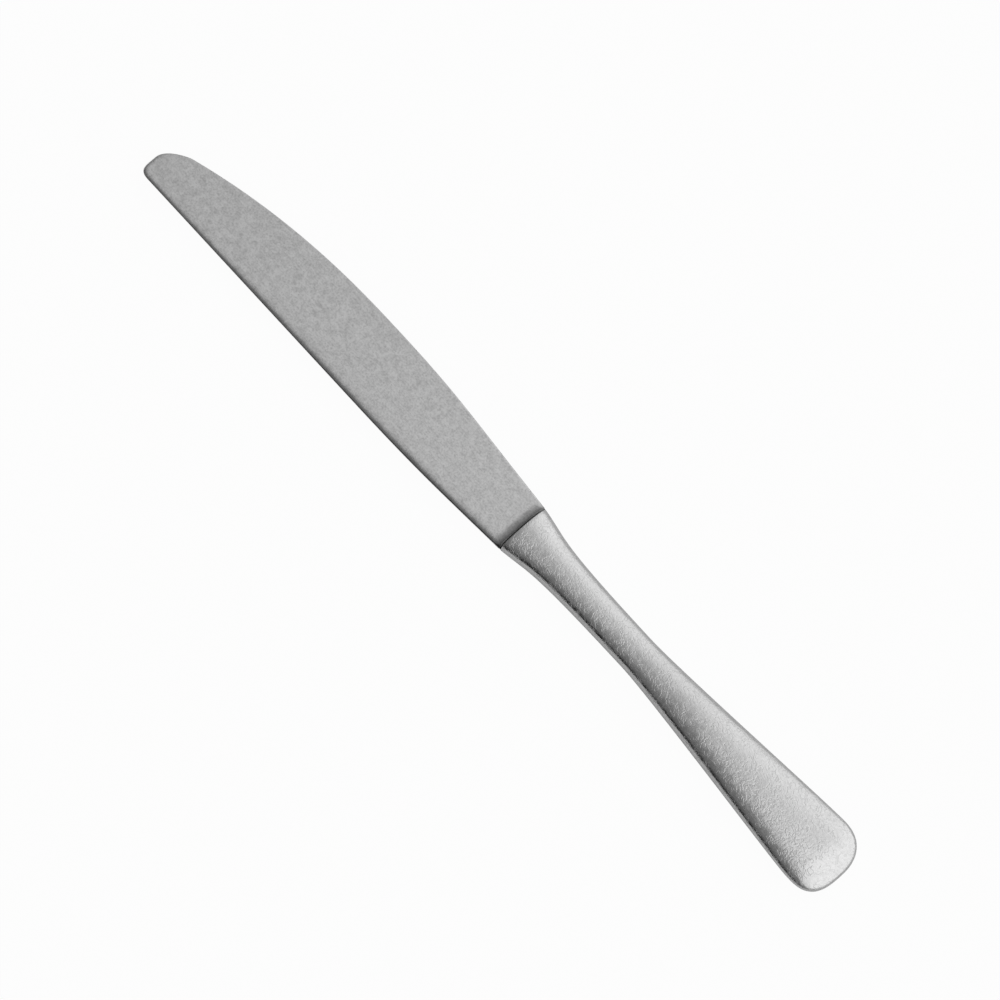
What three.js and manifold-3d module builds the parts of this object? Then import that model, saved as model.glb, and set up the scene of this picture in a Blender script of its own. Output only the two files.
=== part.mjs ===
// A hollow-handled table knife, in millimetres, lying flat on the table with +Z up.
// It is laid out along X from the blade's tip at 0 to the handle's butt. The cutting edge is towards
// +Y, the spine towards -Y, and the blade's middle plane is Z = 0 until the knife is set on the table.
import * as THREE from 'three';
import { mergeVertices } from 'three/addons/utils/BufferGeometryUtils.js';
import Module from 'manifold-3d';

// Lengths along the knife
const BLADE_LENGTH = 130.2; // tip to the handle's mouth
const HANDLE_LENGTH = 111.8; // mouth to butt

// Blade outline, as distances from the knife's axis. A hold is the share of a curve's run over which it
// keeps the direction that it has at that end.
const TIP_SPINE_OFFSET = 5.6; // where the blunt tip turns towards the spine
const TIP_SPINE_REACH = 2.6; // how far it still runs straight across
const SPINE_START = 3.2; // end of that turn, from the tip
const SPINE_START_HOLD = 0.75;
const SPINE_OFFSET = 8.78; // straight back of the blade
const SPINE_END_SHARE = 0.613; // end of the straight back, as a share of the blade
const SPINE_END_HOLD = 0.45;
const SPINE_HEEL_OFFSET = 6.98;
const SPINE_HEEL_ANGLE = 3.2;
const SPINE_HEEL_HOLD = 0.4;
const TIP_EDGE_OFFSET = 3.6; // where the blunt tip turns towards the cutting edge, short of the axis
const TIP_EDGE_REACH = 3.4; // how far it still runs straight across
const EDGE_START = 6.5; // end of that turn, from the tip
const EDGE_START_OFFSET = 2.76;
const EDGE_START_ANGLE = 16.6;
const EDGE_START_HOLD_IN = 0.1;
const EDGE_START_HOLD_OUT = 0.436;
const BELLY_SHARE = 0.55; // widest place of the cutting edge, as a share of the blade
const BELLY_OFFSET = 11.24;
const BELLY_HOLD_IN = 0.195;
const BELLY_HOLD_OUT = 0.412;
const EDGE_HEEL_OFFSET = 7.72;
const EDGE_HEEL_ANGLE = 4.4;
const EDGE_HEEL_HOLD = 0.51;

// Blade thickness: flat faces that thin from heel to tip and from spine to edge
const SPINE_TIP_THICKNESS = 1.3;
const SPINE_HEEL_THICKNESS = 2.3;
const BELLY_THICKNESS = 0.6; // at the cutting edge's widest place
const BLADE_CHAMFER = 0.2; // eased corners all round

// Bolster: a hollow ramp from the blade's faces up to the handle
const BOLSTER_RADIUS = 3.2;
const BOLSTER_STEP = 0.2; // how far the handle stands proud of it

// Handle outline, as distances from the axis towards the cutting edge's side and the spine's side
const MOUTH_EDGE_OFFSET = 7.66;
const MOUTH_SPINE_OFFSET = 6.98;
const MOUTH_ANGLE = 7.5;
const MOUTH_HOLD = 0.235;
const WAIST_SHARE = 0.362; // narrowest place, as a share of the handle
const WAIST_EDGE_OFFSET = 5;
const WAIST_SPINE_OFFSET = 4.66;
const WAIST_HOLD_IN = 0.84;
const WAIST_HOLD_OUT = 0.17;
const BUTT_EDGE_OFFSET = 9.38;
const BUTT_SPINE_OFFSET = 9.75;
const BUTT_HOLD = 0.08;
const BUTT_LENGTH = 8.6; // rounded end of the outline
const BUTT_EDGE_POWER = 2.3; // 2 makes that end a half oval, more makes it fuller
const BUTT_SPINE_POWER = 3;

// Handle thickness, as distances from the middle plane
const MOUTH_HALF_THICKNESS = 3.7;
const WAIST_HALF_THICKNESS = 3.2;
const SWELL_SHARE = 0.59; // thickest place behind the waist, as a share of the handle
const SWELL_HALF_THICKNESS = 3.7;
const BUTT_HALF_THICKNESS = 2.6;
const BUTT_ROUND = 8.5; // length over which the end rounds off
const BUTT_ROUND_POWER = 2.5;
const SECTION_POWER = 2.15; // 2 makes an oval section, more makes it squarer

// Pieces inside the handle
const WALL = 0.9; // shell thickness
const CLEARANCE = 0.3; // gap between pieces that fit in one another
const TENON_LENGTH = 5;
const TANG_LENGTH = 37; // behind the tenon
const TANG_ROOT_WIDTH = 4.6;
const TANG_END_WIDTH = 2.8;
const TANG_ROOT_THICKNESS = 2.2;
const TANG_END_THICKNESS = 1.4;
const KEY_HOLE_RADIUS = 0.9;
const KEY_HOLE_RUNS = [9, 21]; // from the tenon
const BRAZE_WIDTH = 0.5;
const BRAZE_HEIGHT = 0.8;
const BRAZE_CLEARANCE = 0.5; // from the shells' inside at the seam
const PIN_BITE = 0.3; // how far the cement's pins run into its body
const FILL_SHARE = 0.89; // cement, from the mouth, as a share of the handle

// Facets
const ACROSS = 13; // points over the top of a section
const TIP_STEPS = 9;
const POINT_STEPS = 12; // from the tip's turn to the belly
const HEEL_STEPS = 11; // from the belly to the bolster
const BOLSTER_STEPS = 7;
const HANDLE_STEPS = 30;
const BUTT_STEPS = 9;
const TANG_STEPS = 6;
const ROUND_SIDES = 16;

const MOUTH = BLADE_LENGTH;
const BUTT = BLADE_LENGTH + HANDLE_LENGTH;
const BELLY = BLADE_LENGTH * BELLY_SHARE;
const SPINE_END = BLADE_LENGTH * SPINE_END_SHARE;
const WAIST = MOUTH + HANDLE_LENGTH * WAIST_SHARE;
const SWELL = MOUTH + HANDLE_LENGTH * SWELL_SHARE;
const BUTT_START = BUTT - BUTT_LENGTH;
const TENON_END = MOUTH + TENON_LENGTH;
const TANG_END = TENON_END + TANG_LENGTH;
const BRAZE_INSET = WALL + BRAZE_CLEARANCE;
const CEMENT_INSET = BRAZE_INSET + BRAZE_WIDTH + CLEARANCE;

const wasm = await Module();
wasm.setup();

const slope = (degrees) => Math.tan(THREE.MathUtils.degToRad(degrees));
const point = (x, y) => new THREE.Vector2(x, y);
const lerp = THREE.MathUtils.lerp;
const fraction = (x, start, end) => (x - start) / (end - start);
const steps = (count, place) => Array.from({ length: count + 1 }, (_, i) => place(i / count));
const spread = (count, start, end) => steps(count, (t) => lerp(start, end, t));

// A smooth line from one point to the next: each end has a slope and the share of the run that holds it.
function sweep(from, fromSlope, fromHold, to, toSlope, toHold) {
  const run = to.x - from.x;
  const fromReach = run * fromHold;
  const toReach = run * toHold;
  const leave = point(from.x + fromReach, from.y + fromSlope * fromReach);
  const arrive = point(to.x - toReach, to.y - toSlope * toReach);
  return new THREE.CubicBezierCurve(from, leave, arrive, to);
}

// Height of a curve that runs along X, by halving.
function heightAt(curve, x) {
  let low = 0;
  let high = 1;
  while (high - low > Number.EPSILON) {
    const middle = (low + high) / 2;
    if (curve.getPoint(middle).x < x) low = middle;
    else high = middle;
  }
  return curve.getPoint((low + high) / 2).y;
}

// Blade outline
const edgeStartSlope = slope(EDGE_START_ANGLE);
const edgeTurnReach = EDGE_START * EDGE_START_HOLD_IN;
const tipEdgeCurve = new THREE.CubicBezierCurve(
  point(0, -TIP_EDGE_OFFSET),
  point(0, TIP_EDGE_REACH - TIP_EDGE_OFFSET),
  point(EDGE_START - edgeTurnReach, EDGE_START_OFFSET - edgeStartSlope * edgeTurnReach),
  point(EDGE_START, EDGE_START_OFFSET),
);
const bellyCurve = sweep(
  point(EDGE_START, EDGE_START_OFFSET), edgeStartSlope, EDGE_START_HOLD_OUT,
  point(BELLY, BELLY_OFFSET), 0, BELLY_HOLD_IN,
);
const heelCurve = sweep(
  point(BELLY, BELLY_OFFSET), 0, BELLY_HOLD_OUT,
  point(MOUTH, EDGE_HEEL_OFFSET), -slope(EDGE_HEEL_ANGLE), EDGE_HEEL_HOLD,
);
const tipSpineCurve = new THREE.CubicBezierCurve(
  point(0, -TIP_SPINE_OFFSET),
  point(0, -TIP_SPINE_OFFSET - TIP_SPINE_REACH),
  point(SPINE_START * (1 - SPINE_START_HOLD), -SPINE_OFFSET),
  point(SPINE_START, -SPINE_OFFSET),
);
const spineHeelCurve = sweep(
  point(SPINE_END, -SPINE_OFFSET), 0, SPINE_END_HOLD,
  point(MOUTH, -SPINE_HEEL_OFFSET), slope(SPINE_HEEL_ANGLE), SPINE_HEEL_HOLD,
);

function edgeAt(x) {
  if (x < EDGE_START) return heightAt(tipEdgeCurve, x);
  return heightAt(x < BELLY ? bellyCurve : heelCurve, x);
}

function spineAt(x) {
  if (x < SPINE_START) return heightAt(tipSpineCurve, x);
  return x < SPINE_END ? -SPINE_OFFSET : heightAt(spineHeelCurve, x);
}

// Handle outline and thickness, each drawn in by an inset for what lies inside the shells.
function handleSide(mouthOffset, waistOffset, buttOffset, buttPower) {
  const start = point(MOUTH, mouthOffset);
  const waist = point(WAIST, waistOffset);
  const butt = point(BUTT_START, buttOffset);
  const front = sweep(start, -slope(MOUTH_ANGLE), MOUTH_HOLD, waist, 0, WAIST_HOLD_IN);
  const rear = sweep(waist, 0, WAIST_HOLD_OUT, butt, 0, BUTT_HOLD);
  return (x, inset) => {
    if (x < WAIST) return heightAt(front, Math.max(x, MOUTH)) - inset;
    if (x < BUTT_START) return heightAt(rear, x) - inset;
    const along = fraction(x, BUTT_START, BUTT - inset);
    return (buttOffset - inset) * Math.max(1 - along ** buttPower, 0) ** (1 / buttPower);
  };
}

const edgeSide = handleSide(MOUTH_EDGE_OFFSET, WAIST_EDGE_OFFSET, BUTT_EDGE_OFFSET, BUTT_EDGE_POWER);
const spineSide = handleSide(MOUTH_SPINE_OFFSET, WAIST_SPINE_OFFSET, BUTT_SPINE_OFFSET, BUTT_SPINE_POWER);

function halfThickness(x, inset) {
  const ease = (start, end) => THREE.MathUtils.smoothstep(x, start, end);
  const front = lerp(MOUTH_HALF_THICKNESS, WAIST_HALF_THICKNESS, ease(MOUTH, WAIST));
  const middle = lerp(front, SWELL_HALF_THICKNESS, ease(WAIST, SWELL));
  const fall = Math.max(fraction(x, SWELL, BUTT), 0) ** 2;
  const body = lerp(middle, BUTT_HALF_THICKNESS, fall) - inset;
  const into = Math.max(fraction(x, BUTT - BUTT_ROUND, BUTT - inset), 0);
  return body * Math.max(1 - into ** BUTT_ROUND_POWER, 0) ** (1 / BUTT_ROUND_POWER);
}

// Places along the handle that are close together where its end turns round.
function handlePlaces(start, end) {
  const turn = (t) => lerp(BUTT_START, end, Math.sin((t * Math.PI) / 2));
  return [...spread(HANDLE_STEPS, start, BUTT_START), ...steps(BUTT_STEPS, turn).slice(1, -1)];
}

// The top of a full oval section from the spine side to the edge side.
function ovalTop(x, inset, heightInset = inset) {
  const low = -spineSide(x, inset);
  const high = edgeSide(x, inset);
  const height = halfThickness(x, heightInset);
  const squared = (value) => Math.sign(value) * Math.abs(value) ** (2 / SECTION_POWER);
  return steps(ACROSS - 1, (t) => {
    const angle = Math.PI * (1 - t);
    const across = t === 1 ? 1 : squared(Math.cos(angle));
    const up = t === 0 || t === 1 ? 0 : squared(Math.sin(angle));
    return [lerp(low, high, (1 + across) / 2), height * up];
  });
}

const ring = (x, top) => top.map(([y, z]) => new THREE.Vector3(x, y, z));
const underside = (top) => top.map(([y, z]) => [y, -z]).reverse();

// A closed body through rings that run over the top from the spine side. It starts with a flat cap and
// ends with another, or with a last point.
function loft(rings, lastPoint) {
  const count = rings[0].length;
  const points = rings.flat();
  const faces = [];
  const next = (j) => (j + 1) % count;
  for (let start = 0; start + count < points.length; start += count) {
    for (let j = 0; j < count; j += 1) {
      const a = start + j;
      const b = start + next(j);
      faces.push(a, a + count, b, b, a + count, b + count);
    }
  }
  const cap = (end) => THREE.ShapeUtils.triangulateShape(end.map((p) => point(p.y, p.z)), []);
  const last = points.length - count;
  for (const [a, b, c] of cap(rings[0])) faces.push(a, c, b);
  if (lastPoint) {
    for (let j = 0; j < count; j += 1) faces.push(last + j, points.length, last + next(j));
    points.push(lastPoint);
  } else {
    for (const [a, b, c] of cap(rings.at(-1))) faces.push(last + a, last + b, last + c);
  }
  const geometry = new THREE.BufferGeometry().setFromPoints(points);
  geometry.setIndex(faces);
  return geometry;
}

function toSolid(geometry) {
  const bare = geometry.clone();
  bare.deleteAttribute('normal');
  bare.deleteAttribute('uv');
  const merged = mergeVertices(bare);
  return new wasm.Manifold(new wasm.Mesh({
    numProp: 3,
    vertProperties: Float32Array.from(merged.attributes.position.array),
    triVerts: Uint32Array.from(merged.index.array),
  }));
}

function toGeometry(solid) {
  const { vertProperties, triVerts } = solid.getMesh();
  const geometry = new THREE.BufferGeometry();
  geometry.setAttribute('position', new THREE.BufferAttribute(vertProperties, 3));
  geometry.setIndex(new THREE.BufferAttribute(triVerts, 1));
  geometry.computeVertexNormals();
  return geometry;
}

// Blade: each face is one plane, so its half thickness is a plane's height over the outline.
const thinning = (SPINE_HEEL_THICKNESS - SPINE_TIP_THICKNESS) / BLADE_LENGTH;
const spineAtBelly = SPINE_TIP_THICKNESS + thinning * BELLY;
const edgeThinning = (spineAtBelly - BELLY_THICKNESS) / (SPINE_OFFSET + BELLY_OFFSET);
const bladeHalf = (x, y) => (SPINE_TIP_THICKNESS + thinning * x - edgeThinning * (y + SPINE_OFFSET)) / 2;

// The bolster rises from the blade's face to the oval at the mouth, on a hollow arc that starts level.
const mouthHeight = halfThickness(MOUTH, BOLSTER_STEP);
const mouthRise = mouthHeight - bladeHalf(MOUTH, 0);
const RAMP_LENGTH = Math.sqrt(BOLSTER_RADIUS ** 2 - (BOLSTER_RADIUS - mouthRise) ** 2);

function bolsterHalf(x, y) {
  const low = -spineSide(MOUTH, BOLSTER_STEP);
  const high = edgeSide(MOUTH, BOLSTER_STEP);
  const across = Math.abs(fraction(y, low, high) * 2 - 1);
  const crest = mouthHeight * Math.max(1 - across ** SECTION_POWER, 0) ** (1 / SECTION_POWER);
  const along = Math.max(x - (MOUTH - RAMP_LENGTH), 0);
  const arc = BOLSTER_RADIUS - Math.sqrt(BOLSTER_RADIUS ** 2 - along ** 2);
  const foot = bladeHalf(x, y);
  return foot + Math.max(crest - foot, 0) * (arc / mouthRise);
}

function bladeTop(x) {
  const low = spineAt(x);
  const high = edgeAt(x);
  const inner = steps(ACROSS - 3, (t) => {
    const y = lerp(low + BLADE_CHAMFER, high - BLADE_CHAMFER, (1 - Math.cos(Math.PI * t)) / 2);
    return [y, bolsterHalf(x, y)];
  });
  const rim = (y) => [y, bladeHalf(x, y) - BLADE_CHAMFER];
  return [rim(low), ...inner, rim(high)];
}

// The flat tang's section, also used larger for the slot that it lies in.
function tangTop(x, margin) {
  const along = fraction(x, TENON_END, TANG_END);
  const middle = (edgeSide(x, 0) - spineSide(x, 0)) / 2;
  const half = lerp(TANG_ROOT_WIDTH, TANG_END_WIDTH, along) / 2 + margin;
  const height = lerp(TANG_ROOT_THICKNESS, TANG_END_THICKNESS, along) / 2 + margin;
  return spread(ACROSS - 1, middle - half, middle + half).map((y) => [y, height]);
}

const closedRing = (x, top) => ring(x, [...top, ...underside(top)]);

function keyPins(radius, height) {
  return KEY_HOLE_RUNS.map((run) => {
    const x = TENON_END + run;
    const pin = new THREE.CylinderGeometry(radius, radius, height, ROUND_SIDES);
    pin.rotateX(Math.PI / 2);
    pin.translate(x, (edgeSide(x, 0) - spineSide(x, 0)) / 2, 0);
    return toSolid(pin);
  });
}

function bladeGeometry() {
  const turn = steps(TIP_STEPS, (t) => EDGE_START * (1 - Math.cos((t * Math.PI) / 2)));
  const toBelly = spread(POINT_STEPS, EDGE_START, BELLY).slice(1);
  const toRamp = spread(HEEL_STEPS, BELLY, MOUTH - RAMP_LENGTH).slice(1);
  const ramp = steps(BOLSTER_STEPS, (t) => MOUTH - RAMP_LENGTH * (1 - t) ** 2).slice(1);
  const visible = [...turn, ...toBelly, ...toRamp, ...ramp].map((x) => closedRing(x, bladeTop(x)));
  const fit = WALL + CLEARANCE;
  const ovalRing = (x) => {
    const [first, ...rest] = ovalTop(x, fit);
    const last = rest.pop();
    const eased = (end) => [end[0], BLADE_CHAMFER];
    return closedRing(x, [eased(first), ...rest, eased(last)]);
  };
  const tenon = [MOUTH, TENON_END].map(ovalRing);
  const tang = spread(TANG_STEPS, TENON_END, TANG_END).map((x) => closedRing(x, tangTop(x, 0)));
  const forging = toSolid(loft([...visible, ...tenon, ...tang]));
  const holes = keyPins(KEY_HOLE_RADIUS, TANG_ROOT_THICKNESS + CLEARANCE);
  return toGeometry(holes.reduce((solid, hole) => solid.subtract(hole), forging));
}

// A whole oval ring; its two end points are shared by top and underside.
function closedOval(x, inset, heightInset = inset) {
  const top = ovalTop(x, inset, heightInset);
  return ring(x, [...top, ...underside(top).slice(1, -1)]);
}

// Half of the hollow handle, above the seam: the outer form less the room inside.
function shellGeometry() {
  const places = handlePlaces(MOUTH, BUTT);
  const outer = places.map((x) => ring(x, ovalTop(x, 0)));
  const tip = (inset) => new THREE.Vector3(BUTT - inset, 0, 0);
  const inside = handlePlaces(MOUTH, BUTT - WALL).map((x) => closedOval(x, WALL));
  const ahead = inside[0].map((p) => new THREE.Vector3(MOUTH - WALL, p.y, p.z));
  const room = loft([ahead, ...inside], tip(WALL));
  return toGeometry(toSolid(loft(outer, tip(0))).subtract(toSolid(room)));
}

// The braze follows the seam inside, from behind the tenon round the butt and back.
function brazeGeometry() {
  const line = (inset) => {
    const places = [...handlePlaces(TENON_END + CLEARANCE, BUTT - inset), BUTT - inset];
    const there = places.map((x) => point(x, edgeSide(x, inset)));
    const back = places.slice(0, -1).reverse().map((x) => point(x, -spineSide(x, inset)));
    return [...there, ...back];
  };
  const outline = [...line(BRAZE_INSET), ...line(BRAZE_INSET + BRAZE_WIDTH).reverse()];
  const settings = { depth: BRAZE_HEIGHT, bevelEnabled: false };
  const bead = new THREE.ExtrudeGeometry(new THREE.Shape(outline), settings);
  bead.translate(0, 0, -BRAZE_HEIGHT / 2);
  return bead;
}

// Cement round the tang, clear of the shells and the braze, with pins through the tang's key holes.
function cementGeometry() {
  const places = spread(HANDLE_STEPS, TENON_END + CLEARANCE, MOUTH + HANDLE_LENGTH * FILL_SHARE);
  const core = toSolid(loft(places.map((x) => closedOval(x, CEMENT_INSET, WALL + CLEARANCE))));
  const slotRings = [TENON_END, TANG_END + CLEARANCE].map((x) => closedRing(x, tangTop(x, CLEARANCE)));
  const slotted = core.subtract(toSolid(loft(slotRings)));
  const pins = keyPins(KEY_HOLE_RADIUS - CLEARANCE, TANG_ROOT_THICKNESS + 2 * (CLEARANCE + PIN_BITE));
  return toGeometry(pins.reduce((solid, pin) => solid.add(pin), slotted));
}

function steel(color, roughness) {
  return new THREE.MeshStandardMaterial({ color, roughness, metalness: 1 });
}

const bladeSteel = steel(0xa8a8a8, 0.42);
const handleSteel = steel(0xb4b4b4, 0.38);
const brazeMetal = steel(0xc98b5a, 0.4);
const cement = new THREE.MeshStandardMaterial({ color: 0xb9b2a4, roughness: 0.95, metalness: 0 });

const knife = new THREE.Group();

function place(name, geometry, material) {
  const mesh = new THREE.Mesh(geometry, material);
  mesh.name = name;
  knife.add(mesh);
  return mesh;
}

place('blade', bladeGeometry(), bladeSteel);
place('upper_handle_shell', shellGeometry(), handleSteel);
place('lower_handle_shell', shellGeometry(), handleSteel).scale.z = -1;
place('seam_braze', brazeGeometry(), brazeMetal);
place('tang_cement', cementGeometry(), cement);

// The knife rests on the table with the middle of its outline at the origin.
const box = new THREE.Box3().setFromObject(knife);
const middle = box.getCenter(new THREE.Vector3());
knife.position.set(-middle.x, -middle.y, -box.min.z);
knife.updateMatrixWorld(true);

export default knife;
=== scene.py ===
import math

import bmesh
import bpy
import numpy as np
from bpy.props import FloatProperty, FloatVectorProperty, IntProperty, PointerProperty
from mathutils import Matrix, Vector
from mathutils.geometry import interpolate_bezier


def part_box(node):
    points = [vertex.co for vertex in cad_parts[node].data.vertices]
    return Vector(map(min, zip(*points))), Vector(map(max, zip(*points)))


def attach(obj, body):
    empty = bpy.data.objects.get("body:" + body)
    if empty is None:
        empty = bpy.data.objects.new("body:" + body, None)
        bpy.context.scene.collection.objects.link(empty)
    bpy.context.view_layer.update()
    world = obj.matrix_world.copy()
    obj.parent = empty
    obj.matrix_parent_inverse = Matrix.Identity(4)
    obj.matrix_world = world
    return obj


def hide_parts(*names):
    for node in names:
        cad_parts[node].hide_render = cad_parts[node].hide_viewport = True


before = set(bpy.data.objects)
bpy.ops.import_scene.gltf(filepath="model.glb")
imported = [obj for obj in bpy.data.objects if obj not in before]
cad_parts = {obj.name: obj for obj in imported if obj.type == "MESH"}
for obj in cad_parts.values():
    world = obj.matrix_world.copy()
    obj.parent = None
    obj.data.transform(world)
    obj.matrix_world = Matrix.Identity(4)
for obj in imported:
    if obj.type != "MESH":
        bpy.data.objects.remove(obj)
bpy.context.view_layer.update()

bl_info = {
    "name": "Stonewashed table knife",
    "version": (1, 0, 0),
    "blender": (4, 5, 0),
    "location": "View3D > Sidebar > Knife",
    "description": "Dresses a hollow-handled table knife and sets it on a studio table",
    "category": "Object",
}

MM = 0.001
BLADE_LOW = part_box("blade")[0]
SHELL_LOW, SHELL_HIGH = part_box("upper_handle_shell")
TINY = 0.00001 * MM  # points closer than this are one

# Meshes
LINE_POINTS = 400  # along each curve of an outline
GROOVE_FALL = ((0.15, 0.12), (0.3, 0.5), (0.45, 1), (1, 1))  # share of its width, share of its depth
TANG_SECTIONS = 8
KEY_HOLE_SIDES = 32
SHARP_ANGLE = math.radians(38)  # faces that meet at more than this keep a sharp edge

# Finishes
CLOUD_MIDDLE = 0.5
CLOUD_ROUGHNESS = 0.55  # how much the finer clouds in a cloud count
RUBBED = "rubbed"  # how far a point of the blade is rubbed smooth
RUBBED_RANGE = (0.3, 0.8)  # of that value, from dull to smooth
STEEL_TRAITS = ("colour", "contrast", "roughness", "grain", "marks", "relief")  # of each steel part
STEEL_MIDDLE = 0.95  # middle tone of the grain, of the steel's colour
GRAIN_TONE, MOTTLE_TONE, STREAK_TONE = 0.5, 0.3, 0.2  # their shares of the steel's tone
MARK_TONE = 0.16  # what a mark takes off that tone
TONE_RANGE = (0.26, 0.64)  # of that tone, from darkest to lightest steel
FINE_HEIGHT = 0.5  # height of grain, streaks and marks, of the patches' height
MOTTLE_SHEEN = 0.3  # how much the patches change the roughness
MARK_SHEEN = 0.1  # what a mark adds to the roughness
MARK_RANGE = (0.01, 0.07)  # off the middle of a cloud, from the line of a mark to beside it
MARK_STRETCH = (0.7, 1, 1)
MARK_TURN = 0.4
MARKED_RANGE = (0.36, 0.56)  # of the patches, from those without marks to those with
RIPPLE_SIZE = 2  # of the braze's ripples, in sizes of the grit
TARNISH_RANGE = (0.4, 0.65)  # of a cloud, from bright to tarnished braze
TARNISH_TONE = 0.45  # what tarnish leaves of the braze's colour
BRAZE_ROUGHNESS, TARNISH_ROUGHNESS = 0.32, 0.3  # bright braze, and what tarnish adds
CEMENT_TONES = (0.75, 1.2)  # of the cement's colour, from its dark to its light clouds
GRIT_RANGE = (0.52, 0.66)  # of a cloud, from plain cement to a piece of grit
GRIT_TONE = 0.4  # of the cement's colour
GRIT_DEPTH = 0.5  # of the clouds' height
CEMENT_ROUGHNESS, GRIT_ROUGHNESS = 0.85, 0.1  # plain cement, and what grit adds

# Stage
TABLE_CLOUDS = 4  # to the metre
TABLE_TONE = 0.99  # of the table's darkest clouds
PATCH_SIZES = ("azimuth", "elevation", "rim", "core")  # of a round part of the studio
SEEN_RAYS = ("Camera", "Glossy", "Transmission")
WHITE = (1, 1, 1, 1)


def length(name, description, millimetres):
    """A size in metres, written in millimetres."""
    return FloatProperty(
        name=name, description=description, default=millimetres * MM, unit="LENGTH", precision=5
    )


def share(name, description, value):
    """A part of a whole, from 0 to 1."""
    return FloatProperty(
        name=name, description=description, default=value, min=0, max=1, subtype="FACTOR"
    )


def angle(name, description, degrees):
    """An angle in radians, written in degrees."""
    return FloatProperty(
        name=name, description=description, default=math.radians(degrees), subtype="ANGLE"
    )


def number(name, description, value):
    """A plain number with no unit."""
    return FloatProperty(name=name, description=description, default=value)


def count(name, description, value):
    """How many of something."""
    return IntProperty(name=name, description=description, default=value, min=3)


def colour(name, description, red, green, blue):
    """A linear colour."""
    return FloatVectorProperty(
        name=name, description=description, default=(red, green, blue), subtype="COLOR", min=0, max=1
    )


def place(name, description, x, y, z):
    """A point in metres, written in millimetres."""
    point = (x * MM, y * MM, z * MM)
    return FloatVectorProperty(
        name=name, description=description, default=point, subtype="XYZ", unit="LENGTH"
    )


class KnifeBladeSizes(bpy.types.PropertyGroup):
    """The blade's outline from the knife's axis, its thickness, bolster and tang."""

    tip_spine_offset: length("Tip to spine", "Where the blunt tip turns towards the spine", 5.6)
    tip_spine_reach: length("Tip to spine reach", "How far it still runs straight across", 2.6)
    spine_start: length("Spine start", "End of the tip's turn to the spine", 3.2)
    spine_start_hold: share("Spine start hold", "How long that turn keeps to the spine", 0.75)
    spine_offset: length("Spine", "Straight back of the blade", 8.78)
    spine_end: share("Spine end", "End of the straight back along the blade", 0.613)
    spine_end_hold: share("Spine end hold", "How long the heel keeps straight", 0.45)
    spine_heel_offset: length("Spine at heel", "The spine where it meets the handle", 6.98)
    spine_heel_angle: angle("Spine heel angle", "How the spine draws in at the heel", 3.2)
    spine_heel_hold: share("Spine heel hold", "How long that angle is kept", 0.4)
    tip_edge_offset: length("Tip to edge", "Where the blunt tip turns towards the edge", 3.6)
    tip_edge_reach: length("Tip to edge reach", "How far it still runs straight across", 3.4)
    edge_start: length("Edge start", "End of the tip's turn to the edge", 6.5)
    edge_start_offset: length("Edge start offset", "Width at the end of that turn", 2.76)
    edge_start_angle: angle("Edge start angle", "How the edge opens there", 16.6)
    edge_start_hold_in: share("Edge start hold before", "How long the turn keeps that angle", 0.1)
    edge_start_hold_out: share("Edge start hold after", "How long the edge keeps that angle", 0.436)
    belly: share("Belly", "Widest place of the edge along the blade", 0.55)
    belly_offset: length("Belly offset", "Width at the belly", 11.24)
    belly_hold_in: share("Belly hold before", "How long the edge is level before the belly", 0.195)
    belly_hold_out: share("Belly hold after", "How long it is level behind the belly", 0.412)
    edge_heel_offset: length("Edge at heel", "The edge where it meets the handle", 7.72)
    edge_heel_angle: angle("Edge heel angle", "How the edge draws in at the heel", 4.4)
    edge_heel_hold: share("Edge heel hold", "How long that angle is kept", 0.51)
    tip_thickness: length("Tip thickness", "Spine's thickness at the tip", 1.3)
    heel_thickness: length("Heel thickness", "Spine's thickness at the heel", 2.3)
    belly_thickness: length("Belly thickness", "Edge's thickness at the belly", 0.6)
    corner_depth: share("Corner depth", "Depth of the worn corners, of the half thickness", 0.75)
    corner_power: number("Corner fall", "1 makes a worn corner a bevel, more hollows it", 4)
    spine_corner: number("Spine corner", "Reach of the worn corner along the spine, of its depth", 4)
    edge_corner: number("Edge corner", "Reach of the worn corner along the edge, of its depth", 1)
    tip_corner: number("Tip corner", "Reach of the worn corner round the tip, of its depth", 3)
    tip_run: length("Tip run", "How far along the outline the tip's corner lasts", 9)
    bolster_radius: length("Bolster radius", "Hollow of the ramp at the heel", 3.2)
    bolster_step: length("Bolster step", "How far the handle stands proud of the ramp", 0.2)
    groove_width: length("Groove width", "Fine groove between ramp and handle", 0.7)
    groove_depth: length("Groove depth", "Depth of that groove over the faces", 0.4)
    groove_side: length("Groove side depth", "Depth of that groove at the sides", 0.12)
    tenon_length: length("Tenon length", "Reach of the tenon into the handle", 5)
    tang_length: length("Tang length", "Reach of the tang behind the tenon", 37)
    tang_root_width: length("Tang root width", "Width of the tang at the tenon", 4.6)
    tang_end_width: length("Tang end width", "Width of the tang at its end", 2.8)
    tang_root_thickness: length("Tang root thickness", "Thickness at the tenon", 2.2)
    tang_end_thickness: length("Tang end thickness", "Thickness at its end", 1.4)
    key_hole_radius: length("Key hole radius", "Holes that the cement keys into", 0.9)
    first_key_hole: length("First key hole", "From the tenon", 9)
    second_key_hole: length("Second key hole", "From the tenon", 21)
    tip_steps: count("Tip steps", "Sections round the tip", 28)
    point_steps: count("Point steps", "Sections from the tip's turn to the belly", 40)
    heel_steps: count("Heel steps", "Sections from the belly to the bolster", 36)
    ramp_steps: count("Ramp steps", "Sections along the bolster's ramp", 18)
    across: count("Across", "Stretches across a face", 26)
    corner_steps: count("Corner steps", "Stretches round a worn corner", 8)


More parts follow.
